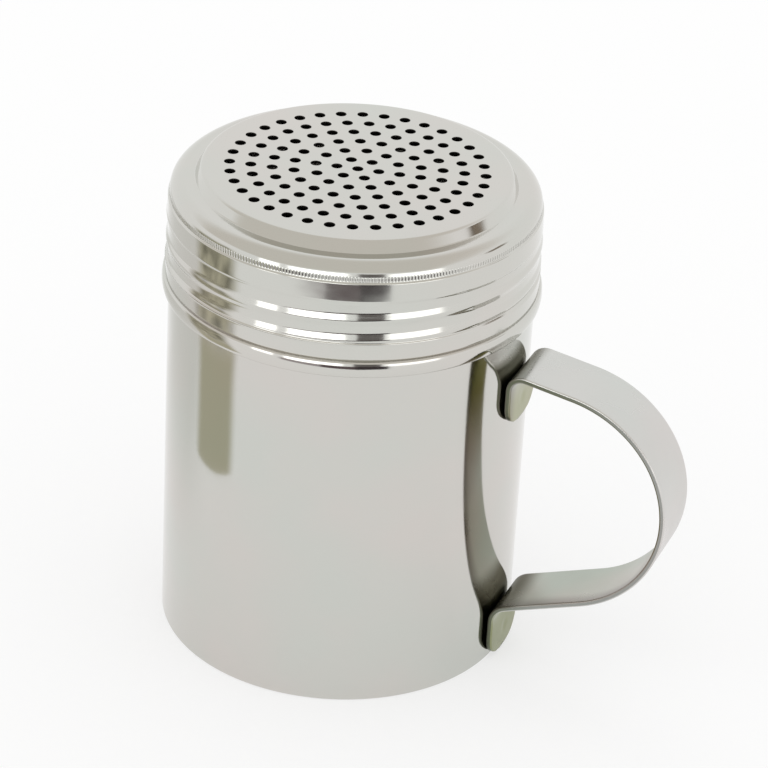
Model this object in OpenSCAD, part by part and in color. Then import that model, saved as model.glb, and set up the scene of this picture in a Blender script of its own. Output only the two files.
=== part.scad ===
// Shaker with a screw lid and a strap handle, for dredging spice or flour.
// The cup stands on the plane Z = 0 with its axis on +Z, and the handle points along +X.
// All sizes are in millimetres.

/* [Cup] */
// Outside diameter of the straight wall
body_d = 69.85; // [60:0.05:80]
// Height of the open rim above the table
cup_h = 92.6; // [80:0.1:105]
// Thickness of the sheet that the cup and the lid are drawn from
sheet = 0.5; // [0.4:0.05:0.7]
// Outside radius of the bottom corner
corner_r = 1.4; // [1:0.1:3]
// Step inwards from the wall to the neck, on the radius
neck_inset = 0.525; // [0.5:0.025:0.9]
// Depth of the neck below the rim, down to its shoulder
neck_h = 15; // [14.5:0.1:20]
// Height of the sloping shoulder under the neck
shoulder_h = 1.2; // [0.8:0.1:2]

/* [Thread] */
// Rise of the lid in one full turn
thread_pitch = 4.1; // [3.8:0.05:4.5]
// Height of the cup's thread over the neck
thread_h = 0.475; // [0.45:0.005:0.5]
// Half of the width of the cup's thread at its foot
thread_half_w = 1.05; // [0.9:0.05:1.2]
// Turns of thread on the neck
thread_turns = 1.8; // [1.2:0.1:1.9]
// Depth of the thread's upper end below the rim
thread_drop = 6.2; // [5.8:0.1:7.5]
// Direction of the thread's upper end, round from the handle
thread_end_angle = 178; // [0:1:359]
// Radial gap between the neck and the lid's wall
neck_gap = 0.3; // [0.25:0.01:0.3]
// Radial gap over the thread's crest
crest_gap = 0.18; // [0.15:0.01:0.25]
// Gap beside the thread's flank
flank_gap = 0.3; // [0.2:0.05:0.35]

/* [Lid] */
// Height of the lid from its curled edge to its crown
lid_h = 24.3; // [23.8:0.1:25.5]
// Width of the crown's sloping edge, from the end of the flat to the middle of the shoulder's round
crown_edge_w = 4.1; // [3.8:0.05:4.6]
// Height of the crown over the top of the shoulder
crown_rise = 1.5; // [1:0.1:2]
// Radius of the round where the crown's face turns down
crown_round_r = 1; // [0.8:0.1:1.5]
// Radius of the channel round the crown
channel_r = 0.4; // [0.3:0.05:0.6]
// How far the channel's floor lies under the top of the shoulder
channel_sink = 0.3; // [0.2:0.05:0.5]
// Radius of the round shoulder outside the channel
lid_round_r = 2.95; // [2.6:0.05:3.1]
// Drop from the foot of the shoulder's round to the plain band
band_drop = 0.4; // [0.2:0.1:0.6]
// Height of the plain band between the shoulder and the thread
band_h = 3.6; // [3:0.1:4]
// How far the middle of that band swells
band_swell = 0.16; // [0.05:0.01:0.3]
// Height of the plain skirt below the thread
skirt_h = 3.4; // [3:0.1:4]
// Radial gap between the skirt and the cup
skirt_gap = 0.15; // [0.12:0.01:0.2]
// Radial gap between the neck and the lid's wall just under its shoulder
top_gap = 0.1; // [0.08:0.01:0.2]
// Height of the curled edge
hem_h = 3.2; // [2.6:0.1:4]
// How far the curled edge stands out of the skirt
hem_out = 0.6; // [0.55:0.05:0.9]
// Gap between the cup's rim and the inside of the lid's shoulder
seat_gap = 0.08; // [0.05:0.01:0.15]

/* [Holes] */
// Diameter of each hole in the crown
hole_d = 2; // [1.4:0.1:2.4]
// Distance from one ring of holes to the next
ring_step = 4; // [3.4:0.1:4.3]
// Number of rings round the middle hole
rings = 6; // [3:1:6]
// Holes that each ring has more than the ring inside it
holes_per_step = 6; // [4:1:7]
// Direction of the first hole in each ring, round from the handle
holes_angle = 11.2; // [0:0.1:30]

/* [Handle] */
// Width of the strap
strap_w = 13.6; // [10:0.1:18]
// Thickness of the strap
strap_t = 1.1; // [0.8:0.05:1.6]
// How far the handle reaches out from the cup's wall
reach = 33.3; // [31:0.1:40]
// Radius of the loop along the middle of the strap
loop_r = 22.8; // [20:0.1:24]
// Height of the loop's centre above the table
loop_z = 40.4; // [38:0.1:42]
// Downward slope of the upper arm, going outwards
upper_slope = 8; // [4:1:14]
// Upward slope of the lower arm, going outwards
lower_slope = 21; // [14:1:26]
// Radius of the bend over the upper foot
upper_bend_r = 2.8; // [2:0.1:3.6]
// Radius of the bend over the lower foot
lower_bend_r = 4; // [3:0.1:5]
// Length of the straight part of the upper foot
upper_foot_l = 8.5; // [7:0.1:11]
// Length of the straight part of the lower foot
lower_foot_l = 9; // [7:0.1:9.2]
// Radius of the corners of the feet
foot_corner_r = 5; // [3:0.1:6]
// How far each flat foot is sunk into the round of the wall where it is welded
foot_seat = 0.07; // [0.05:0.01:0.15]
// Diameter of the dimple that the weld leaves in each foot
weld_d = 4; // [3:0.1:6]
// Depth of that dimple
weld_depth = 0.15; // [0.1:0.01:0.25]
// Width of the dimple's sloping side
weld_slope = 0.6; // [0.3:0.1:1]

/* [Hidden] */

$fn = 96;
// Directions per turn in the swept threads, and points along each drawn arc
turn_steps = 48;
arc_steps = 8;
// Points along the handle's loop and along each of its bends
loop_steps = 36;
bend_steps = 12;
// How far cutters and buried faces run past the surface that they cross
bite = 0.2;
// Turns over which a thread fades in or out, and turns that the lid's runs on past the cup's
fade_turns = 0.09;
run_on = 0.12;
// Share of a thread's height at which its flanks round over, and its width there
round_from = 0.7;
round_w = 0.45;

// Radii from the neck outwards, each one a gap or a sheet from the last
body_r = body_d / 2;
neck_r = body_r - neck_inset;
thread_r = neck_r + thread_h;
lid_bore_r = neck_r + neck_gap;
groove_r = thread_r + crest_gap;
skirt_bore_r = max(body_r, thread_r) + skirt_gap;
wall_r = lid_bore_r + sheet;
ridge_r = groove_r + sheet;
skirt_r = skirt_bore_r + sheet;
hem_r = skirt_r + hem_out;
lid_top_r = neck_r + top_gap + sheet;

// Heights from the rim upwards: the rim stops against the inside of the lid's shoulder
shoulder_centre_r = lid_top_r - lid_round_r;
crown_r = shoulder_centre_r - crown_edge_w;
seat_rise = sqrt(pow(lid_round_r - sheet, 2) - pow(neck_r - shoulder_centre_r, 2));
shoulder_z = cup_h + seat_gap - seat_rise;
crown_z = shoulder_z + lid_round_r + crown_rise;
lid_z = crown_z - lid_h;
hem_z = lid_z + hem_h;
skirt_z = hem_z + skirt_h;
band_top_z = shoulder_z - band_drop;
band_z = band_top_z - band_h;

// Heights of the neck and the thread
neck_z = cup_h - neck_h;
thread_top_z = cup_h - thread_drop;

// Points on an arc about c from angle a to angle b
function arc(c, r, a, b) =
    [for (i = [0:arc_steps]) let (t = a + (b - a) * i / arc_steps) c + r * [cos(t), sin(t)]];

// Solid ring swept up a helix: section(f) gives the outline at the share f of the way,
// as points [radius, height over the helix], anticlockwise with radius to the right
module helical_sweep(section, turns, end_z, end_angle) {
    steps = ceil(turns * turn_steps);
    n = len(section(0));
    points = [
        for (i = [0:steps])
        let (f = i / steps, back = turns * (1 - f))
        for (p = section(f))
        let (t = end_angle - 360 * back)
        [p.x * cos(t), p.x * sin(t), end_z - thread_pitch * back + p.y]
    ];
    sides = [
        for (i = [0:steps - 1], k = [0:n - 1])
        let (a = i * n + k, b = i * n + (k + 1) % n)
        each [[a, b, b + n], [a, b + n, a + n]]
    ];
    ends = [
        for (k = [1:n - 2])
        each [[0, k + 1, k], [steps * n, steps * n + k, steps * n + k + 1]]
    ];
    polyhedron(points, concat(sides, ends), convexity = 8);
}

// Share of a thread's height at the share f of its length: it fades in and out at its ends
function fade(f, turns) =
    let (e = min(f, 1 - f) * turns / fade_turns) e >= 1 ? 1 : sin(90 * e);

// Rounded outline of a thread that stands h high on the radius r, on a foot buried in the sheet
function thread_outline(r, h, half_w, share) =
    let (top = r - bite / 2 + (h + bite / 2) * share)
    [
        [r - bite, -half_w],
        [r + (top - r) * round_from, -half_w * round_w],
        [top, 0],
        [r + (top - r) * round_from, half_w * round_w],
        [r - bite, half_w]
    ];

module cup() {
    inner_corner_r = max(corner_r - sheet, 0.2);
    wall = concat(
        [[0, 0]],
        arc([body_r - corner_r, corner_r], corner_r, -90, 0),
        [
            [body_r, neck_z - shoulder_h],
            [neck_r, neck_z],
            [neck_r, cup_h],
            [neck_r - sheet, cup_h],
            [neck_r - sheet, neck_z - sheet / 2],
            [body_r - sheet, neck_z - shoulder_h - sheet / 2]
        ],
        arc([body_r - sheet - inner_corner_r, sheet + inner_corner_r], inner_corner_r, 0, -90),
        [[0, sheet]]
    );
    color("silver") {
        rotate_extrude()
            polygon(wall);
        helical_sweep(
            function (f) thread_outline(neck_r, thread_h, thread_half_w, fade(f, thread_turns)),
            thread_turns, thread_top_z, thread_end_angle
        );
    }
}

// How far past its top the shoulder's round goes on down into the channel
channel_turn = acos(1 - channel_sink / (lid_round_r + channel_r));

// Centres of the round at the crown's edge and of the channel, which touches the shoulder's round
crown_c = [crown_r, crown_z - crown_round_r];
channel_c = [shoulder_centre_r, shoulder_z]
    + (lid_round_r + channel_r) * [-sin(channel_turn), cos(channel_turn)];

// Slope of the straight stretch that touches both
crown_span = channel_c - crown_c;
crown_slope = 90 - atan2(crown_span.y, crown_span.x)
    - acos((crown_round_r + channel_r) / norm(crown_span));

// Outside of the lid from the middle of its crown down to the foot of its skirt
function lid_outside() =
    let (swell_r = lid_top_r + (ridge_r - lid_top_r) / 2)
    concat(
        [[0, crown_z]],
        arc(crown_c, crown_round_r, 90, 90 - crown_slope),
        arc(channel_c, channel_r, 270 - crown_slope, 270),
        arc([shoulder_centre_r, shoulder_z], lid_round_r, 90 + channel_turn, 0),
        [[lid_top_r, band_top_z]],
        [
            for (i = [1:arc_steps])
            let (f = i / (arc_steps + 1))
            [swell_r + band_swell * sin(180 * f), band_top_z - band_h * f]
        ],
        [
            [wall_r, band_z],
            [wall_r, skirt_z + skirt_r - wall_r],
            [skirt_r, skirt_z],
            [skirt_r, hem_z]
        ]
    );

// Inside of the lid from the foot of its skirt up to the middle of its crown, before the skirt
// is opened out
function lid_inside() =
    concat(
        [
            [lid_bore_r, hem_z],
            [lid_bore_r, band_z],
            [lid_top_r - sheet, band_top_z]
        ],
        arc([shoulder_centre_r, shoulder_z], lid_round_r - sheet, 0, 90 + channel_turn),
        arc(channel_c, channel_r + sheet, 270, 270 - crown_slope),
        arc(crown_c, crown_round_r - sheet, 90 - crown_slope, 90),
        [[0, crown_z - sheet]]
    );

module hole_rings() {
    translate([0, 0, crown_z - sheet - bite]) {
        cylinder(h = sheet + 2 * bite, d = hole_d, $fn = 24);
        for (ring = [1:rings], i = [0:holes_per_step * ring - 1])
            rotate(holes_angle + 360 * i / (holes_per_step * ring))
            translate([ring * ring_step, 0, 0])
            cylinder(h = sheet + 2 * bite, d = hole_d, $fn = 24);
    }
}

// What opens the lid's wall out to the wider skirt, with the same slope inside as outside
module skirt_bore() {
    slope = skirt_bore_r - lid_bore_r + bite;
    rotate_extrude()
        polygon([
            [0, hem_z - bite],
            [skirt_bore_r, hem_z - bite],
            [skirt_bore_r, skirt_z],
            [skirt_bore_r - slope, skirt_z + slope],
            [0, skirt_z + slope]
        ]);
}

module lid_shell() {
    groove_half_w = thread_half_w + flank_gap;
    // The lid's thread runs on past the upper end of the cup's, and down into the skirt
    ridge_top_z = thread_top_z + thread_pitch * run_on;
    ridge_turns = (ridge_top_z - skirt_z + 2 * bite) / thread_pitch;
    ridge_end_angle = thread_end_angle + 360 * run_on;
    color("silver")
    difference() {
        union() {
            rotate_extrude()
                polygon(concat(lid_outside(), lid_inside()));
            helical_sweep(
                function (f) thread_outline(
                    wall_r, ridge_r - wall_r, groove_half_w + bite / 2, fade(f, ridge_turns)
                ),
                ridge_turns, ridge_top_z, ridge_end_angle
            );
        }
        helical_sweep(
            function (f) thread_outline(
                lid_bore_r, groove_r - lid_bore_r, groove_half_w, fade(f, ridge_turns)
            ),
            ridge_turns, ridge_top_z, ridge_end_angle
        );
        skirt_bore();
        hole_rings();
    }
}

module lid_hem() {
    edge_r = (hem_r - skirt_bore_r) / 2;
    middle_r = skirt_bore_r + edge_r;
    color("silver")
    rotate_extrude()
        polygon(concat(
            arc([middle_r, lid_z + edge_r], edge_r, 180, 360),
            arc([hem_r - sheet / 2, hem_z - sheet / 2], sheet / 2, 0, 90),
            [[skirt_bore_r, hem_z]]
        ));
}

// Points on an arc of the strap's middle line, each with the direction to the strap's left
function strap_arc(c, r, a, b, steps) = [
    for (i = [0:steps])
    let (t = a + (b - a) * i / steps, out = [cos(t), sin(t)])
    [c + r * out, b < a ? out : -out]
];

module handle() {
    foot_x = body_r - foot_seat + strap_t / 2;
    centre = [body_r + reach - strap_t / 2 - loop_r, loop_z];
    // Each arm is a straight that touches the loop and the bend over its foot
    upper_a = 90 - upper_slope;
    lower_a = lower_slope - 90;
    upper_n = [cos(upper_a), sin(upper_a)];
    lower_n = [cos(lower_a), sin(lower_a)];
    upper_bend_x = foot_x + upper_bend_r;
    lower_bend_x = foot_x + lower_bend_r;
    upper_bend = [
        upper_bend_x,
        (centre * upper_n + loop_r - upper_bend_r - upper_n.x * upper_bend_x) / upper_n.y
    ];
    lower_bend = [
        lower_bend_x,
        (centre * lower_n + loop_r + lower_bend_r - lower_n.x * lower_bend_x) / lower_n.y
    ];
    lower_foot_z = lower_bend.y - lower_foot_l;
    upper_foot_z = upper_bend.y - upper_foot_l;
    line = concat(
        [[[foot_x, lower_foot_z], [-1, 0]]],
        strap_arc(lower_bend, lower_bend_r, 180, lower_a + 180, bend_steps),
        strap_arc(centre, loop_r, lower_a, upper_a, loop_steps),
        strap_arc(upper_bend, upper_bend_r, upper_a, 180, bend_steps),
        [[[foot_x, upper_foot_z], [1, 0]]]
    );
    last = len(line) - 1;
    color("lightgray")
    difference() {
        rotate([90, 0, 0])
        linear_extrude(height = strap_w, center = true)
        polygon(concat(
            [for (p = line) p[0] + p[1] * strap_t / 2],
            [for (i = [last:-1:0]) line[i][0] - line[i][1] * strap_t / 2]
        ));
        for (z = [lower_foot_z, upper_foot_z])
            for (side = [-1, 1])
                foot_corner(foot_x, z, side);
        weld_dimple(foot_x, lower_foot_z + lower_foot_l / 2);
        weld_dimple(foot_x, upper_foot_z + upper_foot_l / 2);
    }
}

// What is cut off a corner of a foot to leave it round
module foot_corner(x, z, side) {
    translate([x - strap_t, side * (strap_w / 2 - foot_corner_r), z + foot_corner_r])
    rotate([90, 0, 90])
    linear_extrude(height = 2 * strap_t)
    difference() {
        translate([side > 0 ? 0 : -foot_corner_r - bite, -foot_corner_r - bite])
            square([foot_corner_r + bite, foot_corner_r + bite]);
        circle(r = foot_corner_r);
    }
}

// Shallow round dimple in the outer face of a foot
module weld_dimple(x, z) {
    translate([x + strap_t / 2 - weld_depth, 0, z])
    rotate([0, 90, 0])
    cylinder(h = 2 * weld_depth, d1 = weld_d - 2 * weld_slope, d2 = weld_d + 2 * weld_slope);
}

cup();
handle();
lid_shell();
lid_hem();
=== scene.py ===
from math import acos, atan2, cos, degrees, hypot, pi, radians, sin, tan

import bpy
import numpy as np
from mathutils import Matrix, Vector
from mathutils.geometry import delaunay_2d_cdt


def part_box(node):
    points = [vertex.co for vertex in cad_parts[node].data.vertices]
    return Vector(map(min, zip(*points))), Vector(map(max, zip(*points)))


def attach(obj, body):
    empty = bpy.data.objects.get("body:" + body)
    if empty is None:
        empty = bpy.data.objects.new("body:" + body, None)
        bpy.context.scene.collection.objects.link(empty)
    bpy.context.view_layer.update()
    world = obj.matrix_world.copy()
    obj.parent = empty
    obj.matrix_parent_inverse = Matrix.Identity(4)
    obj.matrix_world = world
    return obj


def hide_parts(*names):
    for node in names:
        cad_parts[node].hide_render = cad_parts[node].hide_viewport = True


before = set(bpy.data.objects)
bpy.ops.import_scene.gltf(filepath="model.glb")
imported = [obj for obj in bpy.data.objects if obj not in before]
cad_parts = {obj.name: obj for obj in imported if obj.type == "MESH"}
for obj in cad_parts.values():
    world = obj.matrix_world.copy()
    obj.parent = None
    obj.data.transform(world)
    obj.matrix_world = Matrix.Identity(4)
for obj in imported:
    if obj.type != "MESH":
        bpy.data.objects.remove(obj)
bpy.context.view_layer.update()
bpy.context.scene.view_settings.view_transform = "Standard"


# ---- Camera ----
# It looks down on the shaker from about 30 degrees above the table, from so far off that the
# straight wall narrows only a little towards its foot. The handle points to the right of the
# view and 22 degrees towards the camera.
CAMERA_DISTANCE = 0.63468
CAMERA_LENS = 153.5
CAMERA_HEIGHT_AIM = 0.050
CAMERA_ELEVATION = 29.719
HANDLE_TURN = 22.2
# Small turns of the camera about its own upright, sideways and viewing axes
CAMERA_PAN = -0.650
CAMERA_NOD = 0.040
CAMERA_ROLL = 2.928


def turned(angle, axis):
    """A turn about one axis by an angle in degrees, as a 3 by 3 matrix."""
    return Matrix.Rotation(radians(angle), 3, axis)


camera_data = bpy.data.cameras.new("camera")
camera_data.lens = CAMERA_LENS
camera_data.sensor_width = 36.0
camera_data.clip_start = 0.02
camera_data.clip_end = 20.0
camera = bpy.data.objects.new("camera", camera_data)
bpy.context.scene.collection.objects.link(camera)
bpy.context.scene.camera = camera
camera_turn = (
    turned(HANDLE_TURN, "Z")
    @ turned(90 - CAMERA_ELEVATION, "X")
    @ turned(CAMERA_PAN, "Y")
    @ turned(CAMERA_NOD, "X")
    @ turned(CAMERA_ROLL, "Z")
)
camera_back = turned(HANDLE_TURN, "Z") @ turned(90 - CAMERA_ELEVATION, "X") @ Vector((0, 0, 1))
camera_place = Vector((0, 0, CAMERA_HEIGHT_AIM)) + CAMERA_DISTANCE * camera_back
camera.matrix_world = Matrix.Translation(camera_place) @ camera_turn.to_4x4()


# ---- Cup ----
# One deep-drawn stainless cup, mirror polished outside and duller inside, its colour darkened
# inside as painted shade, with a flat bottom, a straight wall, a small step in to the neck and a
# thread rolled into the neck.
CUP_COLUMNS = 288
SHEET = 0.0005
BODY_R = 0.034925
CUP_H = 0.09227
CORNER_R = 0.0005
INNER_CORNER_R = 0.0003
NECK_R = BODY_R - 0.000525
NECK_Z = CUP_H - 0.015
SHOULDER_H = 0.0012
THREAD_PITCH = 0.0041
THREAD_H = 0.000475
THREAD_HALF_W = 0.00105
THREAD_TURNS = 1.8
THREAD_TOP_Z = CUP_H - 0.0062
THREAD_END_ANGLE = radians(178)
FADE_TURNS = 0.09
# Radius of the ring round the fan of triangles in the middle of the bottom
MIDDLE_R = 0.002


def arc(centre, r, start, end, count):
    """Points on a circle about centre in the (radius, height) plane, from start to end degrees."""
    t = np.radians(np.linspace(start, end, count))
    return np.stack([centre[0] + r * np.cos(t), centre[1] + r * np.sin(t)], 1)


def straight(start, end, count):
    """Points spread evenly from start to end, without the end itself."""
    f = np.linspace(0, 1, count, endpoint=False)[:, None]
    return (1 - f) * np.array(start) + f * np.array(end)


def helix_lift(angle, z, top_z, end_angle, turns, half_w):
    """Height share of a screw thread, 0 to 1, at each angle and height.

    The thread's middle climbs one pitch a turn and ends at top_z and end_angle. Across it the
    share is a raised cosine of the distance from its middle, and it fades in and out at its ends.
    """
    lift = np.zeros(np.broadcast(angle, z).shape)
    for wrap in range(-1, int(turns) + 2):
        back = ((end_angle - angle) / (2 * pi)) % 1.0 + wrap
        middle = top_z - THREAD_PITCH * back
        across = np.clip(np.abs(z - middle) / half_w, 0, 1)
        along = np.clip(np.minimum(back, turns - back) / FADE_TURNS, 0, 1)
        share = (0.5 + 0.5 * np.cos(pi * across)) * np.sin(0.5 * pi * along)
        lift = np.maximum(lift, share)
    return lift


def grid_mesh(name, rows, closed_ends=(False, False)):
    """Mesh of a grid of points, rows by columns by 3, closed round its columns.

    Each row joins the next with one square a column. A closed end is a point on the axis, joined
    to its row by a fan of triangles.
    """
    count, columns = rows.shape[:2]
    points = rows.reshape(-1, 3)
    index = np.arange(count * columns).reshape(count, columns)
    after = np.roll(index, -1, axis=1)
    squares = np.stack([index[:-1], after[:-1], after[1:], index[1:]], -1).reshape(-1, 4)
    faces = squares.tolist()
    for end, row in ((0, 0), (1, count - 1)):
        if closed_ends[end]:
            middle = rows[row].mean(0)
            points = np.vstack([points, middle])
            tip = np.full(columns, len(points) - 1)
            fan = np.stack([after[row], index[row], tip], 1)
            faces += (fan if end == 0 else fan[:, ::-1]).tolist()
    mesh = bpy.data.meshes.new(name)
    mesh.from_pydata(points.tolist(), [], faces)
    mesh.polygons.foreach_set("use_smooth", np.ones(len(mesh.polygons), bool))
    mesh.update()
    return mesh


def revolved(profile, columns, push=None):
    """Grid of a profile of (radius, height) points turned about Z.

    push(angle, radius, height) is added to the radius.
    """
    angle = np.linspace(0, 2 * pi, columns, endpoint=False)[None, :]
    r = profile[:, 0][:, None] + 0 * angle
    z = profile[:, 1][:, None] + 0 * angle
    if push is not None:
        r = r + push(angle, r, z)
    return np.stack([r * np.cos(angle), r * np.sin(angle), z], -1)


def add_piece(name, mesh, body, node, material):
    """Puts a finished mesh into the scene as one piece that stands for a CAD node."""
    piece = bpy.data.objects.new(name, mesh)
    bpy.context.scene.collection.objects.link(piece)
    mesh.materials.append(material)
    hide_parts(node)
    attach(piece, body)
    return piece


def steel(name, colour, roughness, rough_spread, wave_size, wave_height, grain=None, mottle=0.02):
    """Procedural stainless steel on Object coordinates.

    The roughness wanders by rough_spread in soft clouds, and slow waves of wave_size metres and
    wave_height metres bend the reflections as drawn sheet does. grain gives (scale across,
    scale along, height) of fine lines along the piece's UV map. mottle is the share by which the
    colour wanders between a warmer and a cooler cast.
    """
    material = bpy.data.materials.new(name)
    material.use_nodes = True
    nodes, links = material.node_tree.nodes, material.node_tree.links
    shader = nodes["Principled BSDF"]
    shader.inputs["Metallic"].default_value = 1.0
    place = nodes.new("ShaderNodeTexCoord")

    clouds = nodes.new("ShaderNodeTexNoise")
    clouds.inputs["Scale"].default_value = 70.0
    clouds.inputs["Detail"].default_value = 4.0
    links.new(place.outputs["Object"], clouds.inputs["Vector"])
    rough = nodes.new("ShaderNodeMapRange")
    rough.inputs["From Min"].default_value = 0.3
    rough.inputs["From Max"].default_value = 0.7
    rough.inputs["To Min"].default_value = max(roughness - rough_spread, 0.01)
    rough.inputs["To Max"].default_value = roughness + rough_spread
    links.new(clouds.outputs["Fac"], rough.inputs["Value"])
    links.new(rough.outputs["Result"], shader.inputs["Roughness"])

    cast_clouds = nodes.new("ShaderNodeTexNoise")
    cast_clouds.inputs["Scale"].default_value = 38.0
    cast_clouds.inputs["Detail"].default_value = 2.0
    links.new(place.outputs["Object"], cast_clouds.inputs["Vector"])
    cast = nodes.new("ShaderNodeValToRGB")
    warm, cool = cast.color_ramp.elements
    warm.position, cool.position = 0.32, 0.68
    warm.color = (colour[0] * (1 + mottle), colour[1] * (1 - mottle / 2), colour[2] * (1 - mottle), 1)
    cool.color = (colour[0] * (1 - 1.5 * mottle), colour[1], colour[2] * (1 - mottle), 1)
    links.new(cast_clouds.outputs["Fac"], cast.inputs["Fac"])
    links.new(cast.outputs["Color"], shader.inputs["Base Color"])

    waves = nodes.new("ShaderNodeTexNoise")
    waves.inputs["Scale"].default_value = 1.0 / wave_size
    waves.inputs["Detail"].default_value = 2.0
    links.new(place.outputs["Object"], waves.inputs["Vector"])
    bump = nodes.new("ShaderNodeBump")
    bump.inputs["Strength"].default_value = 1.0
    bump.inputs["Distance"].default_value = wave_height
    links.new(waves.outputs["Fac"], bump.inputs["Height"])
    if grain is not None:
        across, along, height = grain
        uv = nodes.new("ShaderNodeMapping")
        uv.inputs["Scale"].default_value = (along, across, 1.0)
        links.new(place.outputs["UV"], uv.inputs["Vector"])
        lines = nodes.new("ShaderNodeTexNoise")
        lines.inputs["Scale"].default_value = 1.0
        lines.inputs["Detail"].default_value = 3.0
        links.new(uv.outputs["Vector"], lines.inputs["Vector"])
        fine = nodes.new("ShaderNodeBump")
        fine.inputs["Strength"].default_value = 1.0
        fine.inputs["Distance"].default_value = height
        links.new(lines.outputs["Fac"], fine.inputs["Height"])
        links.new(bump.outputs["Normal"], fine.inputs["Normal"])
        bump = fine
    links.new(bump.outputs["Normal"], shader.inputs["Normal"])
    return material


def cup_push(angle, r, z):
    """Thread on the neck: outwards on both faces of the sheet, so that it stays one thickness."""
    lift = helix_lift(angle, z, THREAD_TOP_Z, THREAD_END_ANGLE, THREAD_TURNS, THREAD_HALF_W)
    on_neck = (z > NECK_Z) & (z < CUP_H - 0.001)
    return np.where(on_neck, THREAD_H * lift, 0.0)


rim = SHEET / 2
inner_body_r = BODY_R - SHEET
cup_outside = np.vstack([
    straight((MIDDLE_R, 0), (BODY_R - CORNER_R, 0), 12),
    arc((BODY_R - CORNER_R, CORNER_R), CORNER_R, -90, 0, 12),
    straight((BODY_R, CORNER_R + 0.0005), (BODY_R, NECK_Z - SHOULDER_H - 0.0004), 24),
    straight((BODY_R, NECK_Z - SHOULDER_H), (NECK_R, NECK_Z), 5),
    straight((NECK_R, NECK_Z), (NECK_R, CUP_H - rim), 72),
    arc((NECK_R - rim, CUP_H - rim), rim, 0, 180, 9),
])
cup_inside = np.vstack([
    straight((NECK_R - SHEET, CUP_H - rim), (NECK_R - SHEET, NECK_Z), 72)[1:],
    straight((NECK_R - SHEET, NECK_Z), (inner_body_r, NECK_Z - SHOULDER_H), 5),
    straight((inner_body_r, NECK_Z - SHOULDER_H), (inner_body_r, SHEET + INNER_CORNER_R), 18),
    arc((inner_body_r - INNER_CORNER_R, SHEET + INNER_CORNER_R), INNER_CORNER_R, 0, -90, 8),
    straight((inner_body_r - INNER_CORNER_R - 0.0005, SHEET), (MIDDLE_R, SHEET), 12),
])
cup_profile = np.vstack([cup_outside, cup_inside])
cup_steel = steel("polished_steel_cup", (0.615, 0.605, 0.580), 0.08, 0.02, 0.016, 0.00003)
# Rougher steel for the insides of the cup and the lid, its colour darkened as painted shade
shaded_inside_steel = steel("dull_steel_inside_painted_shade", (0.330, 0.320, 0.300), 0.38, 0.05, 0.014, 0.00004)
cup = add_piece(
    "drawn_cup",
    grid_mesh("drawn_cup", revolved(cup_profile, CUP_COLUMNS, cup_push), (True, True)),
    "cup", "cup", cup_steel,
)
cup.data.materials.append(shaded_inside_steel)
# The inner rows of faces and the last fan, in the middle of the inner bottom, are duller, and darker as
# painted shade
cup_faces = np.zeros(len(cup.data.polygons), np.int32)
cup_faces[(len(cup_outside) - 1) * CUP_COLUMNS:(len(cup_profile) - 1) * CUP_COLUMNS] = 1
cup_faces[-CUP_COLUMNS:] = 1
cup.data.polygons.foreach_set("material_index", cup_faces)


# ---- Lid ----
# One drawn and rolled stainless lid: a flat perforated crown with a sloping edge, a channel and
# a round shoulder with a fine knurled row under it, a plain band, two turns of rolled thread
# and a straight skirt. It screws down over the cup's neck.
CROWN_EDGE_W = 0.00353
CROWN_RISE = 0.00206
CROWN_ROUND_R = 0.0008
CHANNEL_R = 0.0003
CHANNEL_SINK = 0.00003
FLANK_SLOPE = 1
SHOULDER_R = 0.00274
BAND_DROP = 0.0004
BAND_H = 0.0036
BAND_OUT = 0.00026
BAND_LEAN = 0.00018
BAND_TOP_ROUND = 0.00035
BAND_FOOT_ROUND = 0.00070
# How far the ends of the band's two soft steps lie below the shoulder's and the band's own levels
BAND_EDGE_DROP = 0.00067
BAND_FOOT_DROP = 0.00110
SKIRT_H = 0.0034
HEM_DROP = 0.0003
# Radial gaps to the cup: under the shoulder, at the neck, over the thread's crest, in the skirt
TOP_GAP = 0.0001
NECK_GAP = 0.0003
CREST_GAP = 0.00018
SKIRT_GAP = 0.00015
LID_TOP_R = NECK_R + TOP_GAP + SHEET
LID_BORE_R = NECK_R + NECK_GAP
WALL_R = LID_BORE_R + SHEET
RIDGE_H = THREAD_H + CREST_GAP - NECK_GAP
SKIRT_BORE_R = BODY_R + SKIRT_GAP
SKIRT_R = SKIRT_BORE_R + SHEET
RIDGE_HALF_W = 0.00145
RIDGE_PAST_SKIRT = 0.0004
RUN_ON_TURNS = 0.12
HOLE_R = 0.0010
HOLE_ROUND = 0.00005
HOLE_STEP = 0.004
HOLE_RINGS = 6
HOLES_ANGLE = radians(11.2)
HOLE_SIDES = 20
DISC_R = 0.0268
KNURL_TEETH = 360
KNURL_DEPTH = 0.00010
KNURL_H = 0.0011
KNURL_DROP = 0.00015
LID_COLUMNS = 360
INSIDE_COLUMNS = 180

crown_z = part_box("lid_shell")[1].z
hem_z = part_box("lid_shell")[0].z - HEM_DROP
shoulder_z = crown_z - CROWN_RISE - SHOULDER_R
shoulder_c_r = LID_TOP_R - SHOULDER_R
band_top_z = shoulder_z - BAND_DROP
band_z = band_top_z - BAND_H
skirt_z = hem_z + SKIRT_H
ridge_top_z = THREAD_TOP_Z + RUN_ON_TURNS * THREAD_PITCH
ridge_turns = (ridge_top_z - skirt_z + RIDGE_PAST_SKIRT) / THREAD_PITCH
ridge_end = THREAD_END_ANGLE + 2 * pi * RUN_ON_TURNS
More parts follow.
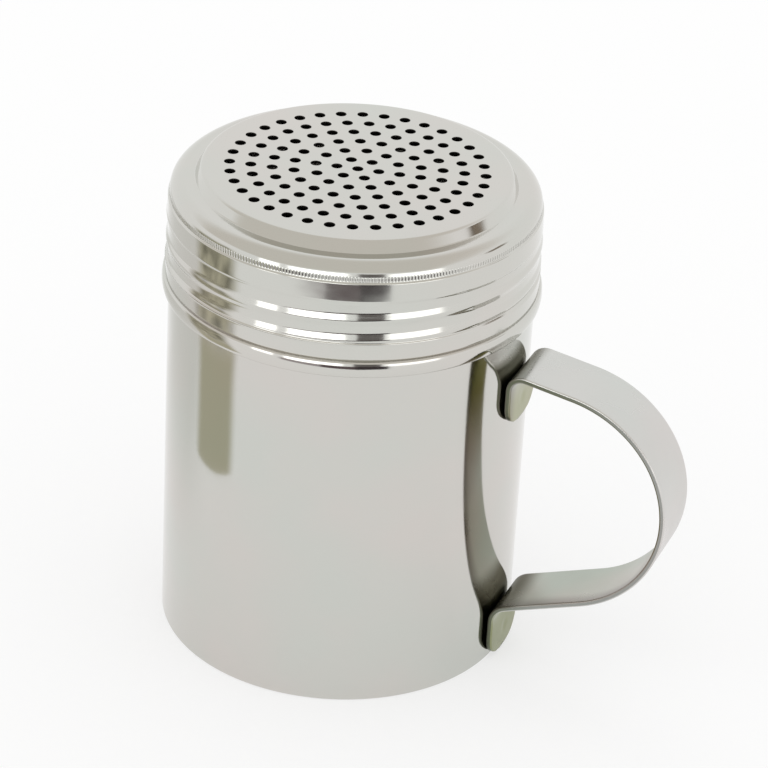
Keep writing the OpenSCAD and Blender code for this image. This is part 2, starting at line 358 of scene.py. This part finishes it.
# From the top of the shoulder a gentle flank falls inwards to the channel's round. A steep slope,
# crown_slope degrees down from level, touches the channel's and the crown's rounds.
flank_drop = CHANNEL_SINK - (SHOULDER_R + CHANNEL_R) * (1 - cos(radians(FLANK_SLOPE)))
flank_w = flank_drop / tan(radians(FLANK_SLOPE)) + (SHOULDER_R + CHANNEL_R) * sin(radians(FLANK_SLOPE))
channel_c = (shoulder_c_r - flank_w, shoulder_z + SHOULDER_R - CHANNEL_SINK + CHANNEL_R)
crown_c = (shoulder_c_r - CROWN_EDGE_W, crown_z - CROWN_ROUND_R)
span = (channel_c[0] - crown_c[0], channel_c[1] - crown_c[1])
crown_slope = 90 - degrees(atan2(span[1], span[0]) + acos((CROWN_ROUND_R + CHANNEL_R) / hypot(*span)))
band_edge_z = shoulder_z - BAND_EDGE_DROP
band_foot_z = band_z - BAND_FOOT_DROP
knurl_z = shoulder_z - KNURL_DROP


def lid_outside():
    """Outline of the lid's outer face, from the edge of the perforated disc to the skirt's foot."""
    # The plain band stands out a little between two soft steps, and leans outwards going down
    z = np.linspace(shoulder_z, band_foot_z, 60)[1:, None]
    down = (shoulder_z - z) / (shoulder_z - band_foot_z)
    steps = np.minimum((band_edge_z - z) / BAND_TOP_ROUND, (z - band_foot_z) / BAND_FOOT_ROUND)
    share = 0.5 - 0.5 * np.cos(pi * np.clip(steps, 0, 1))
    wall = LID_TOP_R + (WALL_R - LID_TOP_R) * down
    band = np.hstack([wall + (LID_TOP_R + BAND_OUT + BAND_LEAN * down - wall) * share, z])
    return np.vstack([
        straight((DISC_R, crown_z), (crown_c[0], crown_z), 3),
        arc(crown_c, CROWN_ROUND_R, 90, 90 - crown_slope, 12),
        arc(channel_c, CHANNEL_R, 270 - crown_slope, 270 + FLANK_SLOPE, 12)[:-1],
        arc((shoulder_c_r, shoulder_z), SHOULDER_R, 90 + FLANK_SLOPE, 0, 44),
        band,
        straight((WALL_R, band_foot_z), (WALL_R, skirt_z + SKIRT_R - WALL_R), 46)[1:],
        straight((WALL_R, skirt_z + SKIRT_R - WALL_R), (SKIRT_R, skirt_z), 4),
        straight((SKIRT_R, skirt_z), (SKIRT_R, hem_z), 6),
        [(SKIRT_R, hem_z)],
    ])


def lid_inside():
    """Outline of the lid's inner face, from the skirt's foot back up to the perforated disc."""
    step = SKIRT_BORE_R - LID_BORE_R
    return np.vstack([
        straight((SKIRT_BORE_R, hem_z), (SKIRT_BORE_R, skirt_z), 4),
        straight((SKIRT_BORE_R, skirt_z), (LID_BORE_R, skirt_z + step), 3),
        straight((LID_BORE_R, skirt_z + step), (LID_BORE_R, band_z), 30),
        straight((LID_BORE_R, band_z), (LID_TOP_R - SHEET, band_top_z), 4),
        arc((shoulder_c_r, shoulder_z), SHOULDER_R - SHEET, 0, 90 + FLANK_SLOPE, 12)[:-1],
        arc(channel_c, CHANNEL_R + SHEET, 270 + FLANK_SLOPE, 270 - crown_slope, 7),
        arc(crown_c, CROWN_ROUND_R - SHEET, 90 - crown_slope, 90, 5),
        [(DISC_R, crown_z - SHEET)],
    ])


def lid_push(angle, r, z):
    """Rolled thread on the wall, above the skirt, whose radius is larger."""
    lift = helix_lift(angle, z, ridge_top_z, ridge_end, ridge_turns, RIDGE_HALF_W)
    return np.where(r < SKIRT_R - 0.00002, lift * RIDGE_H, 0.0)


def hole_middles():
    """One hole in the middle, then rings a step apart, ring k holding 6 k holes."""
    spots = [(0.0, 0.0)]
    for ring in range(1, HOLE_RINGS + 1):
        turn = HOLES_ANGLE + 2 * pi * np.arange(6 * ring) / (6 * ring)
        spots += np.stack([ring * HOLE_STEP * np.cos(turn), ring * HOLE_STEP * np.sin(turn)], 1).tolist()
    return np.array(spots)


def perforated_sheet(edge, hole_r):
    """Flat triangles between an edge loop and round holes, as (points, faces), holes listed last."""
    turn = 2 * pi * np.arange(HOLE_SIDES) / HOLE_SIDES
    loop = hole_r * np.stack([np.cos(turn), np.sin(turn)], 1)
    holes = (hole_middles()[:, None, :] + loop[None]).reshape(-1, 2)
    points = np.vstack([edge, holes])
    loops = [list(range(len(edge)))]
    loops += [
        list(range(start, start + HOLE_SIDES))
        for start in range(len(edge), len(points), HOLE_SIDES)
    ]
    made = delaunay_2d_cdt([Vector(p) for p in points], [], loops, 1, 1e-9, True)
    faces = [list(f) for f, owners in zip(made[2], made[5]) if list(owners) == [0]]
    return np.array([tuple(p) for p in made[0]]), made[3], faces


def lid_mesh():
    """The lid as one closed mesh: outer grid, inner grid, perforated disc and the holes' walls."""
    points, faces = [], []

    def add_points(rows):
        start = sum(len(p) for p in points)
        points.append(rows.reshape(-1, 3))
        return start + np.arange(len(points[-1])).reshape(rows.shape[:-1])

    def add_squares(index):
        after = np.roll(index, -1, axis=1)
        quads = np.stack([index[:-1], index[1:], after[1:], after[:-1]], -1)
        faces.extend(quads.reshape(-1, 4).tolist())

    outside = add_points(revolved(lid_outside(), LID_COLUMNS, lid_push))
    inside = add_points(revolved(lid_inside(), INSIDE_COLUMNS, lid_push))
    add_squares(outside)
    inside_start = len(faces)
    add_squares(inside)
    inside_end = len(faces)
    # The skirt's foot: one flat face from each inside column to the outside columns over it
    share = LID_COLUMNS // INSIDE_COLUMNS
    for i in range(INSIDE_COLUMNS):
        rim = [outside[-1][(share * i + k) % LID_COLUMNS] for k in range(share + 1)]
        faces.append([inside[0][i], inside[0][(i + 1) % INSIDE_COLUMNS]] + rim[::-1])

    turn = 2 * pi * np.arange(HOLE_SIDES) / HOLE_SIDES
    ring = np.stack([np.cos(turn), np.sin(turn)], 1)
    # Radius and depth of each loop down a hole's wall, round at its upper edge
    loops = [
        (HOLE_R + HOLE_ROUND * 1.4, 0.0),
        (HOLE_R + HOLE_ROUND * 0.8, HOLE_ROUND * 0.08),
        (HOLE_R + HOLE_ROUND * 0.25, HOLE_ROUND * 0.4),
        (HOLE_R, HOLE_ROUND),
        (HOLE_R, SHEET),
    ]
    wall = []
    for r, depth in loops:
        flat = hole_middles()[:, None, :] + r * ring[None]
        level = np.full(flat.shape[:-1] + (1,), crown_z - depth)
        wall.append(add_points(np.concatenate([flat, level], -1)))
    wall_start = len(faces)
    for upper, lower in zip(wall, wall[1:]):
        quads = np.stack([upper, np.roll(upper, -1, 1), np.roll(lower, -1, 1), lower], -1)
        faces.extend(quads.reshape(-1, 4).tolist())

    disc_start = len(faces)
    all_points = np.vstack(points)
    for edge, holes, up in ((outside[0], wall[0], True), (inside[-1], wall[-1], False)):
        known = np.concatenate([edge, holes.ravel()])
        radius = loops[0][0] if up else loops[-1][0]
        _, origins, sheet_faces = perforated_sheet(all_points[edge][:, :2], radius)
        names = [known[o[0]] for o in origins]
        under_start = len(faces)
        for f in sheet_faces:
            loop = [names[v] for v in f]
            faces.append(loop if up else loop[::-1])
    mesh = bpy.data.meshes.new("perforated_lid")
    mesh.from_pydata(all_points.tolist(), [], faces)
    flat = np.zeros(len(mesh.polygons), bool)
    flat[disc_start:] = True
    mesh.polygons.foreach_set("use_smooth", ~flat)
    inner = np.zeros(len(mesh.polygons), np.int32)
    inner[inside_start:inside_end] = 1
    # The holes' walls take the third, near-black steel: painted shade in the holes
    inner[wall_start:disc_start] = 2
    inner[under_start:] = 1
    mesh.polygons.foreach_set("material_index", inner)
    mesh.update()
    return mesh


def knurl(material):
    """Adds the knurled row to the lid's steel: a fine wave of teeth round the foot of the shoulder.

    The teeth are a sine of the angle round the axis, and fade out above and below the row.
    """
    nodes, links = material.node_tree.nodes, material.node_tree.links
    shader = nodes["Principled BSDF"]
    smooth = shader.inputs["Normal"].links[0].from_socket
    place = nodes.new("ShaderNodeTexCoord")
    parts = nodes.new("ShaderNodeSeparateXYZ")
    links.new(place.outputs["Object"], parts.inputs["Vector"])

    def maths(operation, first, second=None, value=None):
        node = nodes.new("ShaderNodeMath")
        node.operation = operation
        links.new(first, node.inputs[0])
        if second is not None:
            links.new(second, node.inputs[1])
        if value is not None:
            node.inputs[1].default_value = value
        return node.outputs["Value"]

    angle = maths("ARCTAN2", parts.outputs["Y"], parts.outputs["X"])
    teeth = maths("SINE", maths("MULTIPLY", angle, value=KNURL_TEETH))
    from_middle = maths("ABSOLUTE", maths("SUBTRACT", parts.outputs["Z"], value=knurl_z))
    fade = nodes.new("ShaderNodeMapRange")
    fade.interpolation_type = "SMOOTHSTEP"
    fade.inputs["From Min"].default_value = KNURL_H / 2
    fade.inputs["From Max"].default_value = KNURL_H / 4
    links.new(from_middle, fade.inputs["Value"])
    bump = nodes.new("ShaderNodeBump")
    bump.inputs["Strength"].default_value = 1.0
    bump.inputs["Distance"].default_value = KNURL_DEPTH / 2
    links.new(maths("MULTIPLY", teeth, fade.outputs["Result"]), bump.inputs["Height"])
    links.new(smooth, bump.inputs["Normal"])
    links.new(bump.outputs["Normal"], shader.inputs["Normal"])


lid_steel = steel("polished_steel_lid", (0.620, 0.610, 0.582), 0.10, 0.03, 0.008, 0.00005)
knurl(lid_steel)
lid = add_piece("perforated_lid", lid_mesh(), "lid", "lid_shell", lid_steel)
# The lid's inner faces and the underside of its disc take the inside steel, darkened as painted shade
lid.data.materials.append(shaded_inside_steel)
# Near-black steel on the holes' walls is painted shade
lid.data.materials.append(steel("painted_shade_hole_wall", (0.060, 0.056, 0.052), 0.55, 0.10, 0.001, 0.00001))


# ---- Curled edge ----
# The lid's lower edge, rolled outwards into a flat hollow bead that stiffens it. It rides the
# slide of the screw, and the rest of the lid turns in it.
HEM_BULGE_R = 0.0050
HEM_TOP_ROUND = 0.00045
HEM_FOOT_ROUND = 0.00045
HEM_INNER_ROUND = 0.00030

hem_low, hem_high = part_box("lid_hem")
hem_foot_z = hem_low.z - HEM_DROP
hem_middle = (hem_high.x - HEM_BULGE_R, (hem_foot_z + hem_z) / 2)


def hem_round(r, end_z):
    """Centre of a round of radius r that touches the bulge from inside and the level end_z."""
    up = np.sign(end_z - hem_middle[1])
    t = np.arcsin((abs(end_z - hem_middle[1]) - r) / (HEM_BULGE_R - r))
    centre = (hem_middle[0] + (HEM_BULGE_R - r) * np.cos(t), end_z - up * r)
    return centre, up * np.degrees(t)


foot_c, foot_turn = hem_round(HEM_FOOT_ROUND, hem_foot_z)
top_c, top_turn = hem_round(HEM_TOP_ROUND, hem_z)
inner_c = (SKIRT_BORE_R + HEM_INNER_ROUND, hem_foot_z + HEM_INNER_ROUND)
hem_profile = np.vstack([
    arc(inner_c, HEM_INNER_ROUND, -180, -90, 8),
    arc(foot_c, HEM_FOOT_ROUND, -90, foot_turn, 12),
    arc(hem_middle, HEM_BULGE_R, foot_turn, top_turn, 26)[1:-1],
    arc(top_c, HEM_TOP_ROUND, top_turn, 90, 10),
    straight((top_c[0] - 0.00005, hem_z), (SKIRT_BORE_R, hem_z), 4),
    straight((SKIRT_BORE_R, hem_z), inner_c - np.array((HEM_INNER_ROUND, 0)), 5),
])
hem_rows = revolved(np.vstack([hem_profile, hem_profile[:1]]), 360)
hem = add_piece(
    "curled_edge", grid_mesh("curled_edge", hem_rows), "lid_lift", "lid_hem", lid_steel
)


# ---- Handle ----
# One flat stainless strap with eased edges, bent to a loop, with its two ends turned down flat
# against the cup's wall and cut to round tongues. One spot weld holds each tongue.
STRAP_W = 0.0136
STRAP_T = 0.0011
STRAP_EASE = 0.00028
REACH = 0.0333
LOOP_R = 0.0228
LOOP_Z = 0.0404
UPPER_SLOPE = radians(8)
LOWER_SLOPE = radians(21)
UPPER_BEND_R = 0.0028
LOWER_BEND_R = 0.0040
UPPER_FOOT_L = 0.0085
LOWER_FOOT_L = 0.0090
FOOT_CORNER_R = 0.0050
FOOT_SEAT = 0.00007
WELD_R = 0.0019
WELD_DEPTH = 0.00012
LOWER_WELD_SHIFT = 0.0003
STATION_GAP = 0.00045
FACE_POINTS = 30


def strap_line():
    """Middle line of the strap in the X-Z plane, as (points, lower end, upper end).

    Straight feet and arms touch three arcs: a bend over each foot and the loop between them.
    """
    foot_x = BODY_R - FOOT_SEAT + STRAP_T / 2
    loop_c = np.array([BODY_R + REACH - STRAP_T / 2 - LOOP_R, LOOP_Z])
    upper_a, lower_a = pi / 2 - UPPER_SLOPE, LOWER_SLOPE - pi / 2
    upper_n = np.array([cos(upper_a), sin(upper_a)])
    lower_n = np.array([cos(lower_a), sin(lower_a)])
    upper_x, lower_x = foot_x + UPPER_BEND_R, foot_x + LOWER_BEND_R
    upper_c = (upper_x, (loop_c @ upper_n + LOOP_R - UPPER_BEND_R - upper_n[0] * upper_x) / upper_n[1])
    lower_c = (lower_x, (loop_c @ lower_n + LOOP_R + LOWER_BEND_R - lower_n[0] * lower_x) / lower_n[1])

    def bend(centre, r, start, end):
        t = np.linspace(start, end, max(int(abs(end - start) * r / STATION_GAP), 8))
        return np.array(centre) + r * np.stack([np.cos(t), np.sin(t)], 1)

    def line(start, end):
        start, end = np.array(start), np.array(end)
        count = int(np.linalg.norm(end - start) / STATION_GAP)
        return start + (end - start) * np.linspace(0, 1, count, endpoint=False)[1:, None]

    parts = [bend(lower_c, LOWER_BEND_R, pi, lower_a + pi), bend(loop_c, LOOP_R, lower_a, upper_a)]
    parts.append(bend(upper_c, UPPER_BEND_R, upper_a, pi))
    low_end = (foot_x, lower_c[1] - LOWER_FOOT_L)
    high_end = (foot_x, upper_c[1] - UPPER_FOOT_L)
    points = np.vstack([
        [low_end], line(low_end, parts[0][0]), parts[0], line(parts[0][-1], parts[1][0]), parts[1],
        line(parts[1][-1], parts[2][0]), parts[2], line(parts[2][-1], high_end), [high_end],
    ])
    return points, low_end, high_end


def handle_mesh():
    """The strap's section carried along its middle line.

    The section is a rectangle with eased edges. Towards each end its half width shrinks along a
    quarter circle, which cuts the round tongue.
    """
    points, low_end, high_end = strap_line()
    step = np.gradient(points, axis=0)
    along = step / np.linalg.norm(step, axis=1)[:, None]
    out = np.stack([-along[:, 1], along[:, 0]], 1)
    length = np.concatenate([[0], np.cumsum(np.linalg.norm(np.diff(points, axis=0), axis=1))])
    ends = np.minimum(length, length[-1] - length)
    inset = FOOT_CORNER_R - np.clip(ends, 0, FOOT_CORNER_R)
    half_w = STRAP_W / 2 - FOOT_CORNER_R + np.sqrt(FOOT_CORNER_R ** 2 - inset ** 2)

    face = np.linspace(-1, 1, FACE_POINTS)
    half_t = np.full(FACE_POINTS, STRAP_T / 2)
    t = np.linspace(0, pi / 2, 6)
    one = 1 + 0 * t
    rise, run = STRAP_EASE * np.sin(t), STRAP_EASE * np.cos(t)
    near_face = STRAP_T / 2 - STRAP_EASE * (1 - np.cos(t))
    near_side = STRAP_T / 2 - STRAP_EASE * (1 - np.sin(t))
    # Each section point: share of the flat half width, then ease offsets across and through
    section = np.vstack([
        np.stack([face, 0 * face, half_t], 1),
        np.stack([one, rise, near_face], 1)[1:],
        np.stack([one, run, -near_side], 1),
        np.stack([-face, 0 * face, -half_t], 1)[1:],
        np.stack([-one, -rise, -near_face], 1)[1:],
        np.stack([-one, -run, near_side], 1)[:-1],
    ])
    across = section[None, :, 0] * (half_w[:, None] - STRAP_EASE) + section[None, :, 1]
    through = np.repeat(section[None, :, 2], len(points), 0)
    # The outer face of each foot dips to a shallow weld mark with a soft edge
    feet = ((low_end[1] + LOWER_FOOT_L / 2, LOWER_WELD_SHIFT), (high_end[1] + UPPER_FOOT_L / 2, 0.0))
    outer_sign = np.where(out[:, 0] < 0, -1, 1)[:, None]
    for z, shift in feet:
        near = (points[:, 0] < BODY_R + STRAP_T)[:, None]
        away = np.hypot(across - shift, points[:, 1][:, None] - z) / WELD_R
        dip = WELD_DEPTH * np.clip(1 - away ** 2, 0, 1) ** 2
        facing = (through * outer_sign > STRAP_T / 2 - 1e-6) & near
        through = np.where(facing, through - dip * outer_sign, through)
    rows = np.stack([
        points[:, None, 0] + through * out[:, None, 0],
        across,
        points[:, None, 1] + through * out[:, None, 1],
    ], -1)
    mesh = grid_mesh("strap_handle", rows, (True, True))
    # The section runs the other way round than a revolved piece's columns
    mesh.flip_normals()
    uv = mesh.uv_layers.new(name="UVMap")
    at = np.zeros(len(mesh.loops), np.int32)
    mesh.loops.foreach_get("vertex_index", at)
    u = np.append(np.repeat(length, rows.shape[1]), [0, length[-1]])[at]
    v = np.append(across.ravel(), [0, 0])[at]
    uv.data.foreach_set("uv", np.stack([u, v], 1).astype(np.float32).ravel())
    return mesh


def painted_shade_tint(material, colour, axis, fades, join="MAXIMUM"):
    """Multiplies a strap steel's colour by a darker cast, as painted shade and painted reflection, by the
    UV map along or across it.

    axis is X along the strap and Y across it. Each of fades is (full, none): the places where
    that painted shade is strongest and where it has faded out. Two fades join to the larger of the
    two, or to the smaller, for painted shade between them.
    """
    nodes, links = material.node_tree.nodes, material.node_tree.links
    shader = nodes["Principled BSDF"]
    plain = shader.inputs["Base Color"].links[0].from_socket
    place = nodes.new("ShaderNodeTexCoord")
    parts = nodes.new("ShaderNodeSeparateXYZ")
    links.new(place.outputs["UV"], parts.inputs["Vector"])
    both = nodes.new("ShaderNodeMath")
    both.operation = join
    both.inputs[1].default_value = 0.0 if join == "MAXIMUM" else 1.0
    for slot, (full, none) in enumerate(fades):
        fade = nodes.new("ShaderNodeMapRange")
        fade.interpolation_type = "SMOOTHSTEP"
        fade.inputs["From Min"].default_value = none
        fade.inputs["From Max"].default_value = full
        links.new(parts.outputs[axis], fade.inputs["Value"])
        links.new(fade.outputs["Result"], both.inputs[slot])
    mix = nodes.new("ShaderNodeMix")
    mix.data_type = "RGBA"
    mix.blend_type = "MULTIPLY"
    mix.inputs["B"].default_value = (*colour, 1)
    links.new(both.outputs["Value"], mix.inputs["Factor"])
    links.new(plain, mix.inputs["A"])
    links.new(mix.outputs["Result"], shader.inputs["Base Color"])


strap_mesh = handle_mesh()
end = max(loop.uv.x for loop in strap_mesh.uv_layers["UVMap"].data)
grain = (9000, 500, 0.000004)
strap_steel = steel("satin_steel_strap", (0.640, 0.632, 0.618), 0.30, 0.06, 0.010, 0.00004, grain)
# The faces into the loop are darker in colour as painted shade
shaded_inner_steel = steel("satin_steel_inner_painted_shade", (0.495, 0.484, 0.455), 0.30, 0.06, 0.006, 0.00005, grain, 0.06)
# The cut sides are darker in colour as painted shade
shaded_edge_steel = steel("cut_edge_painted_shade", (0.330, 0.335, 0.320), 0.32, 0.08, 0.004, 0.00001)
# Olive and brown painted shade and painted reflection: outside at both feet, inside along the loop's
# upper half, at one edge, at the lower bend and on the upper foot, and on the cut sides towards both ends
painted_shade_tint(strap_steel, (0.46, 0.48, 0.29), "X", [(0.007, 0.016)])
painted_shade_tint(strap_steel, (0.31, 0.30, 0.25), "X", [(end - 0.0110, end - 0.0139)])
painted_shade_tint(shaded_inner_steel, (0.36, 0.36, 0.14), "X", [(0.062, 0.040), (end - 0.022, end - 0.012)], "MINIMUM")
painted_shade_tint(shaded_inner_steel, (0.67, 0.64, 0.65), "Y", [(-0.0066, -0.0030)])
painted_shade_tint(shaded_inner_steel, (0.32, 0.31, 0.26), "X", [(0.0135, 0.0185)])
painted_shade_tint(shaded_inner_steel, (0.80, 0.84, 0.62), "X", [(end - 0.004, end - 0.011)])
painted_shade_tint(shaded_edge_steel, (0.42, 0.44, 0.32), "X", [(0.008, 0.022), (end - 0.014, end - 0.042)])
handle = add_piece("strap_handle", strap_mesh, "cup", "handle", strap_steel)
strap_mesh.materials.append(shaded_edge_steel)
strap_mesh.materials.append(shaded_inner_steel)
# Of the 80 faces round the section, the first 34 and the last 5 look into the loop, and 34 and 74
# are the flat middles of the two cut sides. Both of these take darker steels as painted shade.
SECTION_FACES = 80
CUT_SIDES = (34, 74)
columns = np.arange(len(strap_mesh.polygons)) % SECTION_FACES
side = np.where((columns < CUT_SIDES[0]) | (columns > CUT_SIDES[1]), 2, 0)
side[(columns == CUT_SIDES[0]) | (columns == CUT_SIDES[1])] = 1
strap_mesh.polygons.foreach_set("material_index", side.astype(np.int32))


# ---- Stage ----
# A white table under a white sky. Cards that only the steel sees stand for what surrounded it:
# bright panels low in front, dark things on the table, something olive at the left and a ceiling.
FLOOR_SIZE = 6.0
FLOOR_COLOUR = (0.98, 0.98, 0.978, 1)
FLOOR_WHITE_SHARE = 0.6

world = bpy.data.worlds.new("studio")
bpy.context.scene.world = world
world.use_nodes = True
sky = world.node_tree.nodes["Background"]
sky.inputs["Color"].default_value = (1.0, 1.0, 1.0, 1)
sky.inputs["Strength"].default_value = 1.0

floor_material = bpy.data.materials.new("table_white")
floor_material.use_nodes = True
floor_shader = floor_material.node_tree.nodes["Principled BSDF"]
floor_shader.inputs["Base Color"].default_value = FLOOR_COLOUR
floor_shader.inputs["Roughness"].default_value = 0.9
floor_shader.inputs["Specular IOR Level"].default_value = 0.0
# The camera and the steel see the table part white, which keeps half of the shaker's soft shadow
floor_nodes, floor_links = floor_material.node_tree.nodes, floor_material.node_tree.links
floor_ray = floor_nodes.new("ShaderNodeLightPath")
seen = floor_nodes.new("ShaderNodeMath")
seen.operation = "MAXIMUM"
floor_links.new(floor_ray.outputs["Is Camera Ray"], seen.inputs[0])
floor_links.new(floor_ray.outputs["Is Glossy Ray"], seen.inputs[1])
part = floor_nodes.new("ShaderNodeMath")
part.operation = "MULTIPLY"
part.inputs[1].default_value = FLOOR_WHITE_SHARE
floor_links.new(seen.outputs["Value"], part.inputs[0])
white = floor_nodes.new("ShaderNodeEmission")
white.inputs["Color"].default_value = (1, 1, 1, 1)
floor_mix = floor_nodes.new("ShaderNodeMixShader")
floor_links.new(part.outputs["Value"], floor_mix.inputs["Fac"])
floor_links.new(floor_shader.outputs["BSDF"], floor_mix.inputs[1])
floor_links.new(white.outputs["Emission"], floor_mix.inputs[2])
floor_links.new(floor_mix.outputs["Shader"], floor_nodes["Material Output"].inputs["Surface"])
floor_mesh = bpy.data.meshes.new("table")
half = FLOOR_SIZE / 2
floor_corners = [(-half, -half, 0), (half, -half, 0), (half, half, 0), (-half, half, 0)]
floor_mesh.from_pydata(floor_corners, [], [(0, 1, 2, 3)])
floor_mesh.materials.append(floor_material)
floor = bpy.data.objects.new("table", floor_mesh)
bpy.context.scene.collection.objects.link(floor)


def reflected_card(name, corners, colour, strength, softness=0.12, mottle=0.0):
    """A card that only reflections see, fading out over a share of its width and height.

    Its four corners, in order round it, are (right, front, up) from the foot of the axis as the
    camera sees them. mottle is the share of its light that comes and goes in smudges.
    """
    points = [turned(HANDLE_TURN, "Z") @ Vector((right, -front, up)) for right, front, up in corners]
    mesh = bpy.data.meshes.new(name)
    mesh.from_pydata([tuple(p) for p in points], [], [(0, 1, 2, 3)])
    uv = mesh.uv_layers.new(name="UVMap")
    uv.data.foreach_set("uv", (0, 0, 1, 0, 1, 1, 0, 1))
    material = bpy.data.materials.new(name)
    material.use_nodes = True
    nodes, links = material.node_tree.nodes, material.node_tree.links
    nodes.remove(nodes["Principled BSDF"])
    place = nodes.new("ShaderNodeTexCoord")
    # Distance from the card's middle, 0 to 1, across and up it, through a smooth step each
    middle = nodes.new("ShaderNodeVectorMath")
    middle.operation = "MULTIPLY_ADD"
    middle.inputs[1].default_value = (2, 2, 0)
    middle.inputs[2].default_value = (-1, -1, 0)
    links.new(place.outputs["UV"], middle.inputs[0])
    reach = nodes.new("ShaderNodeVectorMath")
    reach.operation = "ABSOLUTE"
    links.new(middle.outputs["Vector"], reach.inputs[0])
    parts = nodes.new("ShaderNodeSeparateXYZ")
    links.new(reach.outputs["Vector"], parts.inputs["Vector"])
    both = nodes.new("ShaderNodeMath")
    both.operation = "MULTIPLY"
    for slot, axis in ((0, "X"), (1, "Y")):
        fade = nodes.new("ShaderNodeMapRange")
        fade.interpolation_type = "SMOOTHSTEP"
        fade.inputs["From Min"].default_value = 1.0
        fade.inputs["From Max"].default_value = 1.0 - 2 * softness
        links.new(parts.outputs[axis], fade.inputs["Value"])
        links.new(fade.outputs["Result"], both.inputs[slot])
    glow = nodes.new("ShaderNodeEmission")
    glow.inputs["Color"].default_value = (*colour, 1)
    glow.inputs["Strength"].default_value = strength
    if mottle:
        stretch = nodes.new("ShaderNodeMapping")
        stretch.inputs["Scale"].default_value = (6.0, 17.0, 1.0)
        links.new(place.outputs["UV"], stretch.inputs["Vector"])
        smudge = nodes.new("ShaderNodeTexNoise")
        smudge.inputs["Scale"].default_value = 1.0
        smudge.inputs["Detail"].default_value = 3.0
        links.new(stretch.outputs["Vector"], smudge.inputs["Vector"])
        spread = nodes.new("ShaderNodeMapRange")
        spread.inputs["From Min"].default_value = 0.35
        spread.inputs["From Max"].default_value = 0.65
        spread.inputs["To Min"].default_value = strength * (1 - mottle)
        spread.inputs["To Max"].default_value = strength * (1 + mottle)
        links.new(smudge.outputs["Fac"], spread.inputs["Value"])
        links.new(spread.outputs["Result"], glow.inputs["Strength"])
    clear = nodes.new("ShaderNodeBsdfTransparent")
    mix = nodes.new("ShaderNodeMixShader")
    links.new(both.outputs["Value"], mix.inputs["Fac"])
    links.new(clear.outputs["BSDF"], mix.inputs[1])
    links.new(glow.outputs["Emission"], mix.inputs[2])
    links.new(mix.outputs["Shader"], nodes["Material Output"].inputs["Surface"])
    mesh.materials.append(material)
    card = bpy.data.objects.new(name, mesh)
    bpy.context.scene.collection.objects.link(card)
    card.visible_camera = False
    card.visible_diffuse = False
    card.visible_shadow = False


def upright(left, right, low, high):
    """Corners of an upright card between two (right, front) places and two heights."""
    return [(*left, low), (*right, low), (*right, high), (*left, high)]


CARDS = [
    # Three bright panels low in front, with a dark gap between them where the camera stands
    ("panel_left", upright((-0.178, 0.246), (-0.008, 0.305), 0.024, 0.150), (1, 1, 1), 2.4, 0.08),
    ("panel_far_left", upright((-0.242, 0.178), (-0.193, 0.233), 0.024, 0.150), (1, 1, 1), 2.2, 0.14),
    ("panel_right", upright((0.092, 0.290), (0.240, 0.182), 0.024, 0.150), (1, 1, 1), 2.0, 0.16),
    ("gap", upright((0.014, 0.300), (0.096, 0.288), 0.015, 0.155), (0.17, 0.155, 0.15), 1.0, 0.10),
    # Dark things low on the table in front of them
    ("low_dark", upright((0.012, 0.205), (0.084, 0.205), 0.002, 0.050), (0.055, 0.045, 0.048), 1.0, 0.10),
    ("low_brown", upright((-0.058, 0.206), (0.026, 0.206), 0.002, 0.048), (0.13, 0.10, 0.105), 1.0, 0.12),
    ("low_grey", upright((-0.165, 0.208), (-0.040, 0.208), 0.002, 0.044), (0.42, 0.38, 0.39), 1.0, 0.16),
    # Something olive standing close at the left, smudged higher up
    ("left_foot", upright((-0.092, 0.052), (-0.102, -0.006), -0.010, 0.036), (0.51, 0.49, 0.375), 1.0, 0.20),
    (
        "left_top", upright((-0.092, 0.055), (-0.104, -0.011), 0.020, 0.092),
        (0.40, 0.385, 0.295), 1.0, 0.26, 0.55,
    ),
    # The table a little greyer behind on the left
    (
        "left_table",
        [(-0.36, -0.02, 0.0006), (-0.036, 0.030, 0.0006), (-0.022, -0.110, 0.0006), (-0.22, -0.42, 0.0006)],
        (0.79, 0.79, 0.77), 1.0, 0.30,
    ),
    # Something brown high on the right
    (
        "right_brown", upright((0.495, 0.075), (0.495, -0.110), 0.190, 0.290),
        (0.20, 0.155, 0.11), 1.0, 0.30, 0.5,
    ),
    # The ceiling, warmer than the sky, over the front
    (
        "ceiling", [(-3.6, 2.6, 0.9), (3.4, 2.6, 0.9), (1.3, -0.9, 0.9), (-3.0, -0.9, 0.9)],
        (0.775, 0.745, 0.70), 1.0, 0.20,
    ),
]
for card in CARDS:
    reflected_card(*card)
